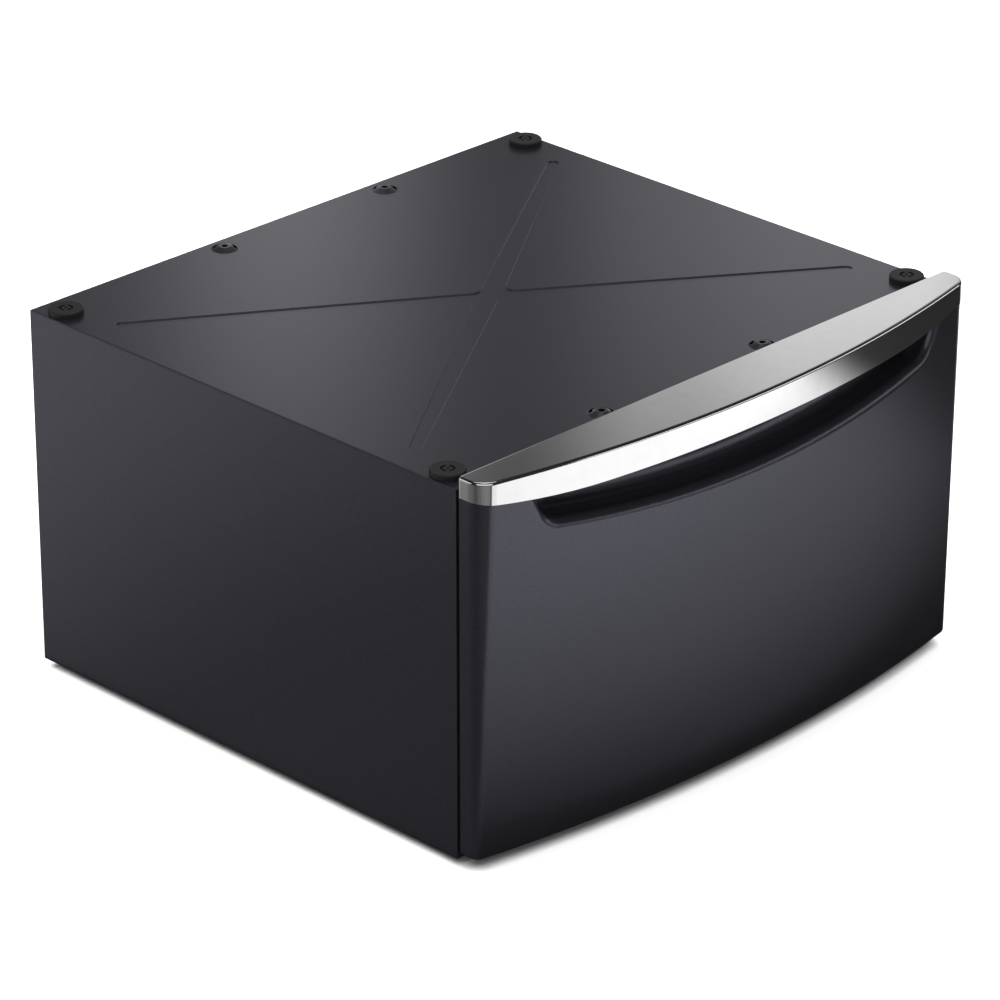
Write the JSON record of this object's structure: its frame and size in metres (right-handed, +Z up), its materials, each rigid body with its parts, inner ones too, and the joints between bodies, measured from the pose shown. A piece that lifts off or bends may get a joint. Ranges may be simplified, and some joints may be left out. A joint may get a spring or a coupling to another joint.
{
  "type": "laundry pedestal",
  "caption": "Steel stand that raises a washer or dryer, with a storage drawer behind a bowed front, a scooped grip and a bright handle cap, and rubber pads on its crossed-recess top.",
  "frame": {"origin": "middle of the footprint, on the floor, with the levelling feet screwed in", "axes": "X across the front to the right as the user faces it, Y from front to back, Z up"},
  "size_m": [0.6858, 0.67, 0.4082],
  "materials": {
    "body_paint": "satin",
    "handle_chrome": "polished",
    "pad_rubber": "matt",
    "drawer_paint": "satin",
    "zinc_steel": "satin"
  },
  "bodies": {
    "cabinet": {"top_panel": "body_paint", "left_panel": "body_paint", "right_panel": "body_paint", "rear_panel": "zinc_steel", "front_top_rail": "body_paint", "rear_top_rail": "zinc_steel", "front_base_rail": "body_paint", "rear_base_rail": "zinc_steel", "corner_post_front_left": "zinc_steel", "corner_post_front_right": "zinc_steel", "corner_post_rear_left": "zinc_steel", "corner_post_rear_right": "zinc_steel", "foot_bracket_front_left": "zinc_steel", "foot_bracket_front_right": "zinc_steel", "foot_bracket_rear_left": "zinc_steel", "foot_bracket_rear_right": "zinc_steel", "top_pad_front_left": "pad_rubber", "top_pad_front_right": "pad_rubber", "top_pad_rear_left": "pad_rubber", "top_pad_rear_right": "pad_rubber", "foot_lock_nuts": "zinc_steel", "rear_panel_screws": "zinc_steel", "left_slide_bracket": "zinc_steel", "right_slide_bracket": "zinc_steel", "left_cabinet_rail": "zinc_steel", "right_cabinet_rail": "zinc_steel", "cabinet_rail_screws": "zinc_steel"},
    "drawer": {"drawer_front_panel": "body_paint", "drawer_front_liner": "zinc_steel", "handle_trim": "handle_chrome", "handle_screws": "zinc_steel", "drawer_bottom": "drawer_paint", "drawer_left_wall": "drawer_paint", "drawer_right_wall": "drawer_paint", "drawer_front_wall": "drawer_paint", "drawer_rear_wall": "drawer_paint", "drawer_screws": "zinc_steel", "drawer_bumper_left": "pad_rubber", "drawer_bumper_right": "pad_rubber", "left_drawer_rail": "zinc_steel", "right_drawer_rail": "zinc_steel", "drawer_rail_screws": "zinc_steel"},
    "left_intermediate": {"left_intermediate_rail": "zinc_steel"},
    "left_outer_cage": {"left_outer_ball_cage": "zinc_steel"},
    "left_inner_cage": {"left_inner_ball_cage": "zinc_steel"},
    "right_intermediate": {"right_intermediate_rail": "zinc_steel"},
    "right_outer_cage": {"right_outer_ball_cage": "zinc_steel"},
    "right_inner_cage": {"right_inner_ball_cage": "zinc_steel"},
    "foot_front_left": {"levelling_foot_front_left": "zinc_steel"},
    "foot_front_right": {"levelling_foot_front_right": "zinc_steel"},
    "foot_rear_left": {"levelling_foot_rear_left": "zinc_steel"},
    "foot_rear_right": {"levelling_foot_rear_right": "zinc_steel"}
  },
  "joints": [
    {"name": "drawer_slide", "type": "slide", "parent": "cabinet", "child": "drawer", "axis": [0, -1, 0], "range_m": [0, 0.457]},
    {"name": "left_intermediate_slide", "type": "slide", "parent": "cabinet", "child": "left_intermediate", "axis": [0, -1, 0], "range_m": [0, 0.2285]},
    {"name": "left_outer_cage_slide", "type": "slide", "parent": "cabinet", "child": "left_outer_cage", "axis": [0, -1, 0], "range_m": [0, 0.11425]},
    {"name": "left_inner_cage_slide", "type": "slide", "parent": "cabinet", "child": "left_inner_cage", "axis": [0, -1, 0], "range_m": [0, 0.34275]},
    {"name": "right_intermediate_slide", "type": "slide", "parent": "cabinet", "child": "right_intermediate", "axis": [0, -1, 0], "range_m": [0, 0.2285]},
    {"name": "right_outer_cage_slide", "type": "slide", "parent": "cabinet", "child": "right_outer_cage", "axis": [0, -1, 0], "range_m": [0, 0.11425]},
    {"name": "right_inner_cage_slide", "type": "slide", "parent": "cabinet", "child": "right_inner_cage", "axis": [0, -1, 0], "range_m": [0, 0.34275]},
    {"name": "foot_height_front_left", "type": "slide", "parent": "cabinet", "child": "foot_front_left", "axis": [0, 0, -1], "range_m": [0, 0.015]},
    {"name": "foot_height_front_right", "type": "slide", "parent": "cabinet", "child": "foot_front_right", "axis": [0, 0, -1], "range_m": [0, 0.015]},
    {"name": "foot_height_rear_left", "type": "slide", "parent": "cabinet", "child": "foot_rear_left", "axis": [0, 0, -1], "range_m": [0, 0.015]},
    {"name": "foot_height_rear_right", "type": "slide", "parent": "cabinet", "child": "foot_rear_right", "axis": [0, 0, -1], "range_m": [0, 0.015]}
  ],
  "couplings": [
    {"joint": "left_intermediate_slide", "follows": "drawer_slide", "ratio": 0.5},
    {"joint": "left_outer_cage_slide", "follows": "drawer_slide", "ratio": 0.25},
    {"joint": "left_inner_cage_slide", "follows": "drawer_slide", "ratio": 0.75},
    {"joint": "right_intermediate_slide", "follows": "drawer_slide", "ratio": 0.5},
    {"joint": "right_outer_cage_slide", "follows": "drawer_slide", "ratio": 0.25},
    {"joint": "right_inner_cage_slide", "follows": "drawer_slide", "ratio": 0.75}
  ]
}
